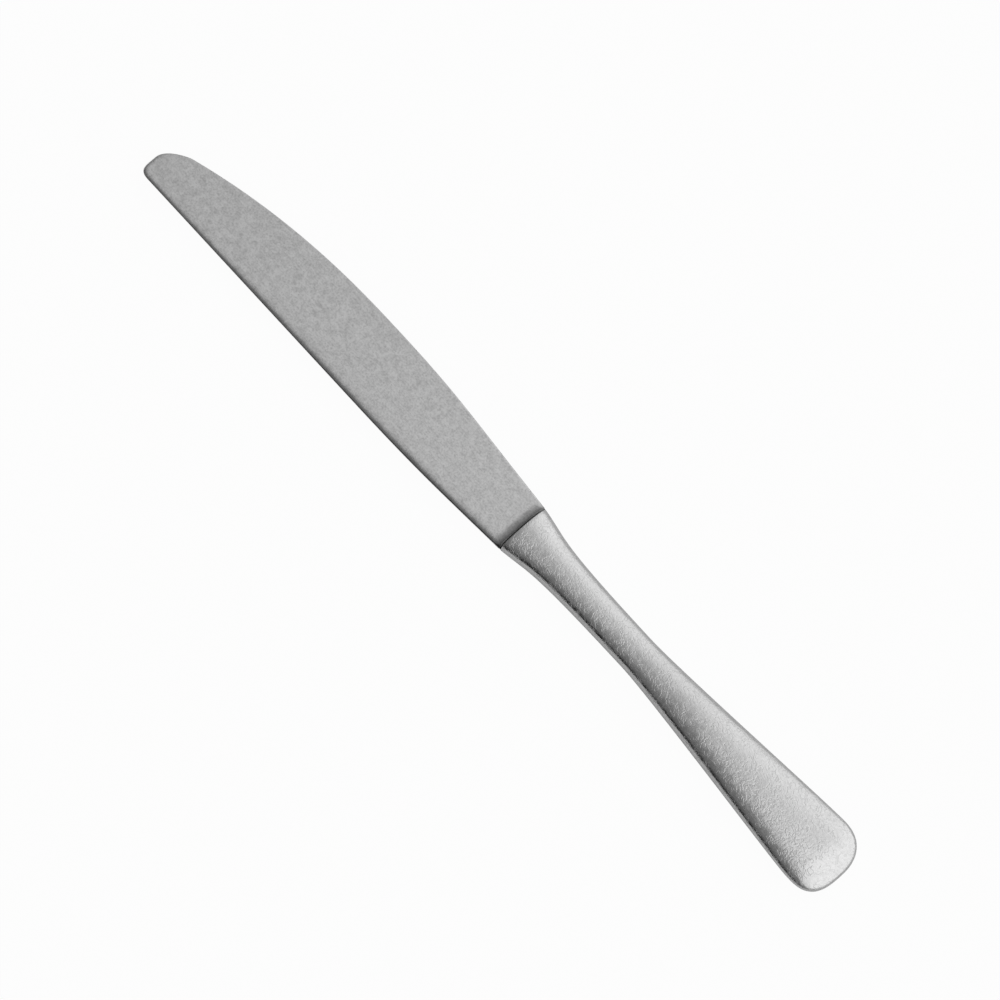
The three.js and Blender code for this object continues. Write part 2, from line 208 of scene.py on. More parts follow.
class KnifeHandleSizes(bpy.types.PropertyGroup):
    """The handle's outline from the knife's axis, its thickness and its shells."""

    mouth_edge_offset: length("Mouth, edge side", "Width at the mouth", 7.66)
    mouth_spine_offset: length("Mouth, spine side", "Width at the mouth", 6.98)
    mouth_angle: angle("Mouth angle", "How the handle draws in behind the mouth", 7.5)
    mouth_hold: share("Mouth hold", "How long that angle is kept", 0.235)
    waist: share("Waist", "Narrowest place along the handle", 0.362)
    waist_edge_offset: length("Waist, edge side", "Width at the waist", 5)
    waist_spine_offset: length("Waist, spine side", "Width at the waist", 4.66)
    waist_hold_in: share("Waist hold before", "How long the side is level before the waist", 0.84)
    waist_hold_out: share("Waist hold after", "How long it is level behind the waist", 0.17)
    butt_edge_offset: length("Butt, edge side", "Width at the butt", 9.38)
    butt_spine_offset: length("Butt, spine side", "Width at the butt", 9.75)
    butt_hold: share("Butt hold", "How long the side is level before the butt's turn", 0.08)
    butt_length: length("Butt length", "Rounded end of the outline", 8.6)
    butt_edge_power: number("Butt fullness, edge side", "2 makes a half oval, more is fuller", 2.3)
    butt_spine_power: number("Butt fullness, spine side", "2 makes a half oval, more is fuller", 3)
    mouth_half_thickness: length("Mouth thickness", "From the middle plane", 3.7)
    waist_half_thickness: length("Waist thickness", "From the middle plane", 3.2)
    swell: share("Swell", "Thickest place behind the waist along the handle", 0.59)
    swell_half_thickness: length("Swell thickness", "From the middle plane", 3.7)
    butt_half_thickness: length("Butt thickness", "From the middle plane", 2.6)
    butt_round: length("Butt rounding", "Length over which the end rounds off", 8.5)
    butt_round_power: number("Butt rounding fullness", "2 makes a quarter oval, more is fuller", 2.5)
    section_power: number("Section fullness", "2 makes an oval section, more is squarer", 2.15)
    wall: length("Wall", "Thickness of a shell", 0.9)
    clearance: length("Clearance", "Between the tenon and the shells", 0.3)
    rim_round: length("Rim rounding", "Worn front corner of the shells", 0.14)
    rim_steps: count("Rim steps", "Sections round that corner", 4)
    along_steps: count("Along steps", "Sections from mouth to butt", 120)
    butt_steps: count("Butt steps", "Sections round the butt", 40)
    across: count("Across", "Points over a section", 65)


class KnifeFinish(bpy.types.PropertyGroup):
    """Colours and wear of the steel, the painted shade in front of the handle's mouth, and what lies
    inside the handle.
    """

    blade_colour: colour("Blade steel", "Colour of the blade", 0.66, 0.66, 0.66)
    handle_colour: colour("Handle steel", "Colour of the handle", 0.71, 0.71, 0.71)
    braze_colour: colour("Braze", "Colour of the brazing metal", 0.58, 0.27, 0.11)
    cement_colour: colour("Cement", "Colour of the filler", 0.48, 0.44, 0.37)
    blade_roughness: share("Blade roughness", "How dull the blade is", 0.38)
    handle_roughness: share("Handle roughness", "How dull the handle is", 0.21)
    blade_contrast: share("Blade contrast", "How much lighter and darker the blade's grain is", 0.19)
    handle_contrast: share("Handle contrast", "How much lighter and darker the handle's grain is", 0.08)
    blade_grain: length("Blade grain", "Size of the blade's stonewash grain", 0.5)
    handle_grain: length("Handle grain", "Size of the handle's stonewash grain", 0.62)
    mottle_size: length("Mottle size", "Size of the cloudy patches", 1.6)
    streak_length: length("Streak length", "Length of the fine wear marks along the knife", 3)
    streak_width: length("Streak width", "Width of those marks", 0.3)
    mark_size: length("Mark size", "Distance between short winding marks", 1)
    blade_marks: share("Blade marks", "Strength of the marks on the blade", 0.3)
    handle_marks: share("Handle marks", "Strength of the marks on the handle", 1)
    blade_relief: length("Blade relief", "Depth of the blade's grain", 0.006)
    handle_relief: length("Handle relief", "Depth of the handle's grain", 0.036)
    rubbed_share: share("Rubbed corners", "How much smoother the worn corners are", 0.7)
    # painted shade: the ramp and the groove in front of the handle's mouth are darkened in colour, in
    # place of the shade and dark reflections that fall there
    painted_shade_run: length("Recess run", "How far the dark oxide lasts in front of the handle's mouth", 2.7)
    painted_shade_tone: share("Recess tone", "What the oxide leaves of the blade's colour", 0.12)
    grit_size: length("Grit size", "Size of the fine grit on braze and cement", 0.5)
    dent_size: length("Dent size", "Size of the patches on braze and cement", 2.6)
    braze_relief: length("Braze relief", "Depth of the braze's ripples", 0.014)
    cement_relief: length("Cement relief", "Depth of the cement's grit", 0.056)


class KnifeStage(bpy.types.PropertyGroup):
    """The table, the studio light and the camera."""

    table_size: length("Table size", "Side of the pale table", 16000)
    table_colour: colour("Table", "Colour of the table", 0.7, 0.7, 0.7)
    table_glow: share("Table glow", "Share of the table that stays white in its shadows", 0.96)
    table_sheen: share("Table in metal", "That share where metal shows the table", 0.05)
    room_level: share("Room level", "Even light from all sides", 0.43)
    brightest: number("Brightest", "No part of the studio is brighter than this", 1.15)
    side_level: number("Side light", "Level of the large softbox on the edge's side", 0.702)
    side_azimuth: angle("Side light azimuth", "Round from the butt's side", 45.5)
    side_elevation: angle("Side light elevation", "Height of its middle", 24.4)
    side_rim: angle("Side light rim", "From its middle to where it ends", 77.4)
    side_core: angle("Side light core", "From its middle to where it starts to fade", 32.1)
    end_level: number("End light", "Level of the softbox beyond the butt", 0.839)
    end_azimuth: angle("End light azimuth", "Round from the butt's side", -17.3)
    end_elevation: angle("End light elevation", "Height of its middle", 53.6)
    end_rim: angle("End light rim", "From its middle to where it ends", 40.7)
    end_core: angle("End light core", "From its middle to where it starts to fade", 34.8)
    card_depth: share("Black card", "How much light the card on the spine's side takes away", 0.95)
    card_azimuth: angle("Black card azimuth", "Round from the butt's side", 267.9)
    card_elevation: angle("Black card elevation", "Height of its middle", 3.9)
    card_rim: angle("Black card rim", "From its middle to where it ends", 30.8)
    card_core: angle("Black card core", "From its middle to where it starts to fade", 0.7)
    wall_depth: share("Dim wall", "How much light the unlit side of the room takes away", 0.614)
    wall_azimuth: angle("Dim wall azimuth", "Round from the butt's side", 230.6)
    wall_elevation: angle("Dim wall elevation", "Height of its middle", -3.8)
    wall_rim: angle("Dim wall rim", "From its middle to where it ends", 100)
    wall_core: angle("Dim wall core", "From its middle to where it starts to fade", 41.2)
    target: place("Camera target", "What the camera looks at", 0, 0.43, 3.7)
    distance: length("Camera distance", "From the target", 1000)
    azimuth: angle("Camera azimuth", "Round from the spine's side", 48.14)
    elevation: angle("Camera elevation", "Above the table", 75)
    lens: number("Lens", "Focal length in millimetres", 150.32)


def blend(low, high, part):
    """The value that lies that part of the way between two others."""
    return low + (high - low) * part


def fraction(x, start, end):
    """How far x lies along the way from start to end."""
    return (x - start) / (end - start)


def ease(x, start, end):
    """Rises smoothly from 0 at start to 1 at end."""
    part = min(max(fraction(x, start, end), 0), 1)
    return part * part * (3 - 2 * part)


def bezier(start, leave, arrive, end):
    """Points of one curve in the plane of the blade."""
    knots = [Vector((x, y, 0)) for x, y in (start, leave, arrive, end)]
    return [(p.x, p.y) for p in interpolate_bezier(*knots, LINE_POINTS)]


def sweep(start, start_slope, start_hold, end, end_slope, end_hold):
    """A smooth line whose ends have a slope and the share of the run that holds it."""
    run = end[0] - start[0]
    leave = (start[0] + run * start_hold, start[1] + start_slope * run * start_hold)
    arrive = (end[0] - run * end_hold, end[1] - end_slope * run * end_hold)
    return bezier(start, leave, arrive, end)


class Side:
    """One side of an outline: a fine line that can be asked by place or by distance along it."""

    def __init__(self, points):
        self.x = np.array([p[0] for p in points])
        self.y = np.array([p[1] for p in points])
        steps = np.hypot(np.diff(self.x), np.diff(self.y))
        self.run = np.concatenate(([0], np.cumsum(steps)))

    def height(self, x):
        return float(np.interp(x, self.x, self.y))

    def run_at(self, x):
        return float(np.interp(x, self.x, self.run))

    def point(self, run):
        return Vector((np.interp(run, self.run, self.x), np.interp(run, self.run, self.y)))

    def direction(self, run, step=0.1 * MM):
        return (self.point(run + step) - self.point(run - step)).normalized()


class HandleForm:
    """The handle's outer form, and what lies inside it at an inset. X runs from the blade's tip."""

    def __init__(self, sizes):
        self.sizes = sizes
        self.mouth = SHELL_LOW.x - BLADE_LOW.x
        self.butt = SHELL_HIGH.x - BLADE_LOW.x
        self.length = self.butt - self.mouth
        self.waist = self.mouth + self.length * sizes.waist
        self.swell = self.mouth + self.length * sizes.swell
        self.butt_start = self.butt - sizes.butt_length
        self.edge_line = self.side_line(
            sizes.mouth_edge_offset, sizes.waist_edge_offset, sizes.butt_edge_offset
        )
        self.spine_line = self.side_line(
            sizes.mouth_spine_offset, sizes.waist_spine_offset, sizes.butt_spine_offset
        )

    def side_line(self, mouth_offset, waist_offset, butt_offset):
        sizes = self.sizes
        mouth = (self.mouth, mouth_offset)
        waist = (self.waist, waist_offset)
        butt = (self.butt_start, butt_offset)
        drawn_in = -math.tan(sizes.mouth_angle)
        front = sweep(mouth, drawn_in, sizes.mouth_hold, waist, 0, sizes.waist_hold_in)
        return Side(front + sweep(waist, 0, sizes.waist_hold_out, butt, 0, sizes.butt_hold))

    def width(self, line, power, x, inset):
        if x < self.butt_start:
            return line.height(x) - inset
        along = min(fraction(x, self.butt_start, self.butt - inset), 1)
        return (line.y[-1] - inset) * (1 - along**power) ** (1 / power)

    def edge(self, x, inset):
        return self.width(self.edge_line, self.sizes.butt_edge_power, x, inset)

    def spine(self, x, inset):
        return -self.width(self.spine_line, self.sizes.butt_spine_power, x, inset)

    def middle(self, x):
        return (self.edge(x, 0) + self.spine(x, 0)) / 2

    def half_thickness(self, x, inset):
        sizes = self.sizes
        end = self.butt - sizes.butt_round
        mouth, waist = sizes.mouth_half_thickness, sizes.waist_half_thickness
        front = blend(mouth, waist, ease(x, self.mouth, self.waist))
        body = blend(front, sizes.swell_half_thickness, ease(x, self.waist, self.swell))
        fall = max(fraction(x, self.swell, self.butt), 0) ** 2
        body = blend(body, sizes.butt_half_thickness, fall) - inset
        into = min(max(fraction(x, end, self.butt - inset), 0), 1)
        return body * (1 - into**sizes.butt_round_power) ** (1 / sizes.butt_round_power)

    def section(self, x, inset, points):
        """Points over the top of a section, from the spine's side to the edge's side."""
        spine, edge = self.spine(x, inset), self.edge(x, inset)
        height = self.half_thickness(x, inset)
        power = 2 / self.sizes.section_power
        over = []
        for i in range(points):
            turn = math.pi * i / (points - 1)
            across = -math.copysign(abs(math.cos(turn)) ** power, math.cos(turn))
            up = 0 if i in (0, points - 1) else math.sin(turn) ** power
            over.append((x, blend(spine, edge, (1 + across) / 2), height * up))
        return over


class BladeForm:
    """The blade's outline, its flat faces and the bolster. X runs from the blade's tip."""

    def __init__(self, sizes, handle):
        self.sizes = sizes
        self.handle = handle
        self.heel = handle.mouth
        self.belly = self.heel * sizes.belly
        self.tip_middle = (0, -(sizes.tip_spine_offset + sizes.tip_edge_offset) / 2)
        self.spine_line = self.spine_side()
        self.edge_line = self.edge_side()
        self.thinning = (sizes.heel_thickness - sizes.tip_thickness) / self.heel
        spine_at_belly = sizes.tip_thickness + self.thinning * self.belly
        width = sizes.spine_offset + sizes.belly_offset
        self.edge_thinning = (spine_at_belly - sizes.belly_thickness) / width
        self.ramp_foot = self.half(self.heel, 0)
        top = handle.half_thickness(self.heel, sizes.bolster_step)
        radius = sizes.bolster_radius
        self.ramp_length = math.sqrt(radius**2 - (radius - (top - self.ramp_foot)) ** 2)
        self.ramp_start = self.heel - self.ramp_length

    def spine_side(self):
        sizes = self.sizes
        back = -sizes.spine_offset
        straight_end = self.heel * sizes.spine_end
        turn = bezier(
            (0, -sizes.tip_spine_offset),
            (0, -sizes.tip_spine_offset - sizes.tip_spine_reach),
            (sizes.spine_start * (1 - sizes.spine_start_hold), back),
            (sizes.spine_start, back),
        )
        end = (self.heel, -sizes.spine_heel_offset)
        closing = math.tan(sizes.spine_heel_angle)
        start = (straight_end, back)
        heel = sweep(start, 0, sizes.spine_end_hold, end, closing, sizes.spine_heel_hold)
        return Side([self.tip_middle] + turn + heel)

    def edge_side(self):
        sizes = self.sizes
        start = (sizes.edge_start, sizes.edge_start_offset)
        opening = math.tan(sizes.edge_start_angle)
        reach = sizes.edge_start * sizes.edge_start_hold_in
        belly = (self.belly, sizes.belly_offset)
        turn = bezier(
            (0, -sizes.tip_edge_offset),
            (0, sizes.tip_edge_reach - sizes.tip_edge_offset),
            (start[0] - reach, start[1] - opening * reach),
            start,
        )
        front = sweep(start, opening, sizes.edge_start_hold_out, belly, 0, sizes.belly_hold_in)
        end = (self.heel, sizes.edge_heel_offset)
        closing = -math.tan(sizes.edge_heel_angle)
        heel = sweep(belly, 0, sizes.belly_hold_out, end, closing, sizes.edge_heel_hold)
        return Side([self.tip_middle] + turn + front + heel)

    def half(self, x, y):
        """Half the blade's thickness: each face is one plane."""
        spine = self.sizes.tip_thickness + self.thinning * x
        return (spine - self.edge_thinning * (y + self.sizes.spine_offset)) / 2

    def crest(self, y):
        """Half the bolster's thickness at the handle's mouth."""
        step, power = self.sizes.bolster_step, self.handle.sizes.section_power
        spine, edge = self.handle.spine(self.heel, step), self.handle.edge(self.heel, step)
        across = min(abs(2 * fraction(y, spine, edge) - 1), 1)
        return self.handle.half_thickness(self.heel, step) * (1 - across**power) ** (1 / power)

    def corner(self, point, inward, reach):
        """The worn corner of one face, from the side wall to the flat. Its reach is in depths."""
        steps = self.sizes.corner_steps
        depth = self.sizes.corner_depth * self.half(*point)
        line = []
        for i in range(steps + 1):
            aside = (i / steps) ** 2
            inset = point + inward * depth * reach * aside
            drop = depth * (1 - aside) ** self.sizes.corner_power
            line.append((inset.x, inset.y, self.half(*inset) - drop))
        return line

    def over(self, spine_run, edge_run, square):
        """Points over the upper face at one place, from the spine's side to the edge's side."""
        sizes = self.sizes
        corners = []
        for line, run, turn, reach in (
            (self.spine_line, spine_run, 1, sizes.spine_corner),
            (self.edge_line, edge_run, -1, sizes.edge_corner),
        ):
            along = line.direction(run)
            inward = Vector((-along.y, along.x)) * turn
            if square:
                inward = Vector((0, turn))
            elif run == 0:
                inward = Vector((1, 0))
            reach = blend(sizes.tip_corner, reach, ease(run, 0, sizes.tip_run))
            corners.append(self.corner(line.point(run), inward, reach))
        spine, edge = Vector(corners[0][-1]), Vector(corners[1][-1])
        flat = []
        for i in range(1, sizes.across):
            part = (1 - math.cos(math.pi * i / sizes.across)) / 2
            x, y, _ = spine.lerp(edge, part)
            flat.append((x, y, self.half(x, y)))
        return corners[0] + flat + corners[1][::-1]

    def ramp_over(self, x):
        """The same points at a place along the bolster."""
        foot = self.over(self.spine_line.run_at(x), self.edge_line.run_at(x), True)
        radius = self.sizes.bolster_radius
        here, end = (
            radius - math.sqrt(radius**2 - run**2) for run in (x - self.ramp_start, self.ramp_length)
        )
        rise = here / end
        return [(px, py, z + max(self.crest(py) - z, 0) * rise) for px, py, z in foot]

    def groove_over(self, x, down):
        """The bolster's last section drawn in by a share of the groove's depth."""
        sizes = self.sizes
        crest = self.ramp_over(self.heel - sizes.groove_width)
        middle = self.handle.middle(self.heel)
        across = 1 - sizes.groove_side * down / sizes.edge_heel_offset
        up = 1 - sizes.groove_depth * down / self.handle.sizes.mouth_half_thickness
        return [(x, middle + (y - middle) * across, z * up) for _, y, z in crest]

    def tang_over(self, x, points):
        """The flat tang's upper side."""
        sizes = self.sizes
        root = self.heel + sizes.tenon_length
        along = fraction(x, root, root + sizes.tang_length)
        half_width = blend(sizes.tang_root_width, sizes.tang_end_width, along) / 2
        height = blend(sizes.tang_root_thickness, sizes.tang_end_thickness, along) / 2
        middle = self.handle.middle(x)
        spread = np.linspace(-half_width, half_width, points)
        return [(x, middle + y, height) for y in spread]

    def sections(self):
        """Every section of the forging from the tip to the tang's end."""
        sizes = self.sizes
        spine, edge = self.spine_line, self.edge_line
        start = sizes.edge_start
        spine_turn, edge_turn = spine.run_at(start), edge.run_at(start)
        tip = [i / sizes.tip_steps for i in range(sizes.tip_steps)]
        made = [self.over(spine_turn * t, edge_turn * t, False) for t in tip]
        front = np.linspace(start, self.belly, sizes.point_steps, endpoint=False)
        rear = np.linspace(self.belly, self.ramp_start, sizes.heel_steps)
        for x in np.concatenate((front, rear)):
            made.append(self.over(spine.run_at(x), edge.run_at(x), x == self.ramp_start))
        crest = self.heel - sizes.groove_width
        for i in range(1, sizes.ramp_steps + 1):
            along = 1 - (1 - i / sizes.ramp_steps) ** 2
            made.append(self.ramp_over(blend(self.ramp_start, crest, along)))
        for along, down in GROOVE_FALL:
            made.append(self.groove_over(crest + sizes.groove_width * along, down))
        points = len(made[0])
        fit = self.handle.sizes.wall + self.handle.sizes.clearance
        tenon_end = self.heel + sizes.tenon_length
        for x in (self.heel, tenon_end):
            oval = self.handle.section(x, fit, points + 2)
            made.append(oval[1:-1])
        for x in np.linspace(tenon_end, tenon_end + sizes.tang_length, TANG_SECTIONS):
            made.append(self.tang_over(x, points))
        return made


def axis_place(handle):
    """Where the forms' own origin lies: the tip, on the knife's axis, in the middle plane."""
    return Vector((BLADE_LOW.x, SHELL_LOW.y + handle.sizes.butt_spine_offset, SHELL_LOW.z))


def add_piece(name, body, origin):
    """Makes a closed, smoothly shaded piece that rides with the knife."""
    bmesh.ops.remove_doubles(body, verts=body.verts, dist=TINY)
    bmesh.ops.dissolve_degenerate(body, edges=body.edges, dist=TINY)
    bmesh.ops.recalc_face_normals(body, faces=body.faces)
    bmesh.ops.translate(body, verts=body.verts, vec=origin)
    open_edges = [e for e in body.edges if len(e.link_faces) != 2]
    if open_edges:
        raise RuntimeError(f"{name} is not closed: {len(open_edges)} edges")
    mesh = bpy.data.meshes.new(name)
    body.to_mesh(mesh)
    body.free()
    mesh.polygons.foreach_set("use_smooth", [True] * len(mesh.polygons))
    mesh.set_sharp_from_angle(angle=SHARP_ANGLE)
    piece = bpy.data.objects.new(name, mesh)
    bpy.context.scene.collection.objects.link(piece)
    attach(piece, "root")
    return piece


def bridge(body, first, second, closed):
    """Joins two rows of points with faces."""
    pairs = list(zip(first, second))
    if closed:
        pairs.append(pairs[0])
    for (a, b), (c, d) in zip(pairs, pairs[1:]):
        body.faces.new((a, b, d, c))


def blade_body(form):
    """The forging, from the tip to the tang's end. Its worn corners are marked as rubbed smooth."""
    body = bmesh.new()
    rubbed = body.verts.layers.float.new(RUBBED)
    rows = []
    for over in form.sections():
        under = [(x, y, -z) for x, y, z in reversed(over)]
        row = [body.verts.new(p) for p in over + under]
        for i in range(form.sizes.corner_steps):
            for j in (i, len(over) - 1 - i, len(over) + i, len(row) - 1 - i):
                row[j][rubbed] = 1 - i / form.sizes.corner_steps
        rows.append(row)
    for first, second in zip(rows, rows[1:]):
        bridge(body, first, second, True)
    body.faces.new(rows[-1])
    body.faces.new(reversed(rows[0]))
    return body


def cut_key_holes(piece, form, origin):
    """Cuts the holes that the cement keys into through the tang."""
    sizes = form.sizes
    for run in (sizes.first_key_hole, sizes.second_key_hole):
        x = form.heel + sizes.tenon_length + run
        drill = bmesh.new()
        bmesh.ops.create_cone(
            drill, cap_ends=True, segments=KEY_HOLE_SIDES, radius1=sizes.key_hole_radius,
            radius2=sizes.key_hole_radius, depth=2 * sizes.tang_root_thickness,
        )
        middle = origin + Vector((x, form.handle.middle(x), 0))
        bmesh.ops.translate(drill, verts=drill.verts, vec=middle)
        mesh = bpy.data.meshes.new("drill")
        drill.to_mesh(mesh)
        drill.free()
        tool = bpy.data.objects.new("drill", mesh)
        bpy.context.scene.collection.objects.link(tool)
        cut = piece.modifiers.new("key_hole", "BOOLEAN")
        cut.operation = "DIFFERENCE"
        cut.object = tool
        with bpy.context.temp_override(object=piece):
            bpy.ops.object.modifier_apply(modifier=cut.name)
        bpy.data.objects.remove(tool)
        bpy.data.meshes.remove(mesh)


def shell_rows(form):
    """Sections of a shell's outside and inside, with as many points each."""
    sizes = form.sizes
    outside = []
    for i in range(sizes.rim_steps):
        turn = math.pi / 2 * i / sizes.rim_steps
        x = form.mouth + sizes.rim_round * (1 - math.cos(turn))
        inset = sizes.rim_round * (1 - math.sin(turn))
        outside.append(form.section(x, inset, sizes.across))
    turns = [math.sin(math.pi / 2 * i / sizes.butt_steps) for i in range(1, sizes.butt_steps)]
    for x in np.linspace(form.mouth + sizes.rim_round, form.butt_start, sizes.along_steps):
        outside.append(form.section(x, 0, sizes.across))
    for turn in turns:
        outside.append(form.section(blend(form.butt_start, form.butt, turn), 0, sizes.across))
    inside = []
    for x in np.linspace(form.mouth, form.butt_start, sizes.rim_steps + sizes.along_steps):
        inside.append(form.section(x, sizes.wall, sizes.across))
    for turn in turns:
        x = blend(form.butt_start, form.butt - sizes.wall, turn)
        inside.append(form.section(x, sizes.wall, sizes.across))
    return outside, inside


def shell_body(form, side):
    """Half of the hollow handle: side 1 lies above the seam, side -1 below it."""
    body = bmesh.new()
    outside, inside = shell_rows(form)
    skins = []
    for rows, end in ((outside, form.butt), (inside, form.butt - form.sizes.wall)):
        skin = [[body.verts.new((x, y, z * side)) for x, y, z in row] for row in rows]
        last = body.verts.new((end, 0, 0))
        for first, second in zip(skin, skin[1:]):
            bridge(body, first, second, False)
        for a, b in zip(skin[-1], skin[-1][1:]):
            body.faces.new((a, b, last))
        skins.append((skin, last))
    (outer, outer_end), (inner, inner_end) = skins
    bridge(body, outer[0], inner[0], False)
    for j in (0, -1):
        outer_seam = [row[j] for row in outer] + [outer_end]
        inner_seam = [row[j] for row in inner] + [inner_end]
        bridge(body, outer_seam, inner_seam, False)
    return body


class Value:
    """A node's output, wrapped so that shader maths reads as plain arithmetic."""

    def __init__(self, graph, socket):
        self.graph = graph
        self.socket = socket

    def math(self, operation, *values):
        return self.graph.node("ShaderNodeMath", {"operation": operation}, dict(enumerate(values)))

    def __add__(self, other):
        return self.math("ADD", self, other)

    def __sub__(self, other):
        return self.math("SUBTRACT", self, other)

    def __mul__(self, other):
        return self.math("MULTIPLY", self, other)

    def __radd__(self, other):
        return self.math("ADD", other, self)

    def __rsub__(self, other):
        return self.math("SUBTRACT", other, self)

    def __rmul__(self, other):
        return self.math("MULTIPLY", other, self)

    def __abs__(self):
        return self.math("ABSOLUTE", self)

    def at_most(self, limit):
        return self.math("MINIMUM", self, limit)

    def clipped(self, low, high):
        """0 below low, 1 above high and a smooth rise between them."""
        settings = {"clamp": True, "interpolation_type": "SMOOTHSTEP"}
        sockets = {"Value": self, "From Min": low, "From Max": high}
        return self.graph.node("ShaderNodeMapRange", settings, sockets)


class Graph:
    """The nodes of one material or of the world."""

    def __init__(self, owner):
        owner.use_nodes = True
        self.tree = owner.node_tree
        self.tree.nodes.clear()

    def node(self, kind, settings, sockets, output=0):
        """Adds a node, sets it up, fills or links its sockets and gives one of its outputs."""
        made = self.tree.nodes.new(kind)
        for name, value in settings.items():
            setattr(made, name, value)
        for name, value in sockets.items():
            if isinstance(value, Value):
                self.tree.links.new(value.socket, made.inputs[name])
            else:
                made.inputs[name].default_value = value
        return Value(self, made.outputs[output]) if made.outputs else None

    def noise(self, place, scale, detail):
        """Soft random cloud over a place, from about 0.3 to 0.7."""
        sockets = {"Vector": place, "Scale": scale, "Detail": detail, "Roughness": CLOUD_ROUGHNESS}
        return self.node("ShaderNodeTexNoise", {"noise_dimensions": "3D"}, sockets, "Fac")

    def stretched(self, place, scale, turn):
        """The place scaled along its axes, after a turn about the upright axis."""
        turned = self.node("ShaderNodeMapping", {}, {"Vector": place, "Rotation": (0, 0, turn)})
        return self.node("ShaderNodeMapping", {}, {"Vector": turned, "Scale": scale})

    def bump(self, depth, height):
        """A normal that shows a height of that depth."""
        sockets = {"Strength": 1, "Distance": depth, "Height": height}
        return self.node("ShaderNodeBump", {}, sockets, "Normal")

    def mix(self, part, first, second):
        """A colour between two others."""
        settings = {"data_type": "RGBA", "clamp_factor": True}
        return self.node("ShaderNodeMix", settings, {0: part, 6: first, 7: second}, 2)


def shaded(rgb, level):
    """A colour made lighter or darker."""
    return tuple(min(c * level, 1) for c in rgb) + (1,)


def new_material(name):
    """An empty material and its graph."""
    material = bpy.data.materials.new(name)
    return material, Graph(material)


def finish_material(graph, sockets):
    """Ends a graph in one principled shader."""
    shader = graph.node("ShaderNodeBsdfPrincipled", {}, sockets)
    graph.node("ShaderNodeOutputMaterial", {}, {"Surface": shader})


def painted_recess_shade(graph, spot, finish):
    """0 on the open faces, rising to 1 in the groove in front of the handle's mouth: the mask of the
    painted shade that darkens the ramp and the groove.
    """
    behind = graph.node("ShaderNodeSeparateXYZ", {}, {"Vector": spot}, "X") - SHELL_LOW.x
    near = behind.clipped(-finish.painted_shade_run, 0)
    return near * near * (1 - behind.clipped(-TINY, TINY))


def stonewashed(part, finish):
    """Tumbled steel: fine grain, cloudy patches, short winding marks and wear along the knife, and
    painted shade on the ramp in front of the handle's mouth.
    """
    rgb, contrast, roughness, size, marks, relief = (
        getattr(finish, f"{part}_{trait}") for trait in STEEL_TRAITS
    )
    material, graph = new_material(f"stonewashed_{part}_steel")
    spot = graph.node("ShaderNodeTexCoord", {}, {}, "Object")
    grain = graph.noise(spot, 1 / size, detail=2)
    mottle = graph.noise(spot, 1 / finish.mottle_size, detail=2)
    long = (1 / finish.streak_length, 1 / finish.streak_width, 1 / finish.streak_width)
    streaks = graph.noise(graph.stretched(spot, long, turn=0), 1, detail=2)
    slanted = graph.stretched(spot, MARK_STRETCH, MARK_TURN)
    winding = graph.noise(slanted, 1 / finish.mark_size, detail=1)
    nicks = 1 - abs(winding - CLOUD_MIDDLE).clipped(*MARK_RANGE)
    worn = nicks * mottle.clipped(*MARKED_RANGE)
    tone = grain * GRAIN_TONE + mottle * MOTTLE_TONE + streaks * STREAK_TONE
    tone = tone - worn * (MARK_TONE * marks)
    fine = FINE_HEIGHT * marks
    height = grain * FINE_HEIGHT + streaks * fine - worn * fine + mottle * marks
    dark, light = shaded(rgb, STEEL_MIDDLE - contrast), shaded(rgb, STEEL_MIDDLE + contrast)
    steel = graph.mix(tone.clipped(*TONE_RANGE), dark, light)
    # painted shade: the blade's colour darkens over the ramp and in the groove before the handle's
    # mouth
    steel = graph.mix(painted_recess_shade(graph, spot, finish), steel, shaded(rgb, finish.painted_shade_tone))
    touched = graph.node("ShaderNodeAttribute", {"attribute_name": RUBBED}, {}, "Fac")
    rubbed = touched.clipped(*RUBBED_RANGE)
    sheen = roughness + (mottle - CLOUD_MIDDLE) * MOTTLE_SHEEN + worn * (MARK_SHEEN * marks)
    finish_material(graph, {
        "Base Color": steel,
        "Roughness": sheen * (1 - rubbed * finish.rubbed_share),
        "Metallic": 1,
        "Normal": graph.bump(relief, height),
    })
    return material


def brazing_metal(name, rgb, finish):
    """Copper-coloured braze with a rippled, part-oxidised skin."""
    material, graph = new_material(name)
    spot = graph.node("ShaderNodeTexCoord", {}, {}, "Object")
    ripple = graph.noise(spot, 1 / (RIPPLE_SIZE * finish.grit_size), detail=3)
    tarnish = graph.noise(spot, 1 / finish.dent_size, detail=3).clipped(*TARNISH_RANGE)
    finish_material(graph, {
        "Base Color": graph.mix(tarnish, shaded(rgb, 1), shaded(rgb, TARNISH_TONE)),
        "Roughness": BRAZE_ROUGHNESS + tarnish * TARNISH_ROUGHNESS,
        "Metallic": 1,
        "Normal": graph.bump(finish.braze_relief, ripple),
    })
    return material


def filler(name, rgb, finish):
    """Matt gritty cement with darker grit."""
    material, graph = new_material(name)
    spot = graph.node("ShaderNodeTexCoord", {}, {}, "Object")
    cloud = graph.noise(spot, 1 / finish.dent_size, detail=4)
    grit = graph.noise(spot, 1 / finish.grit_size, detail=2).clipped(*GRIT_RANGE)
    dark, light = (shaded(rgb, level) for level in CEMENT_TONES)
    tint = graph.mix(cloud, dark, light)
    finish_material(graph, {
        "Base Color": graph.mix(grit, tint, shaded(rgb, GRIT_TONE)),
        "Roughness": CEMENT_ROUGHNESS + grit * GRIT_ROUGHNESS,
        "Normal": graph.bump(finish.cement_relief, cloud - grit * GRIT_DEPTH),
    })
    return material


def dress(obj, material):
    """Gives an object one material."""
    obj.data.materials.clear()
    obj.data.materials.append(material)


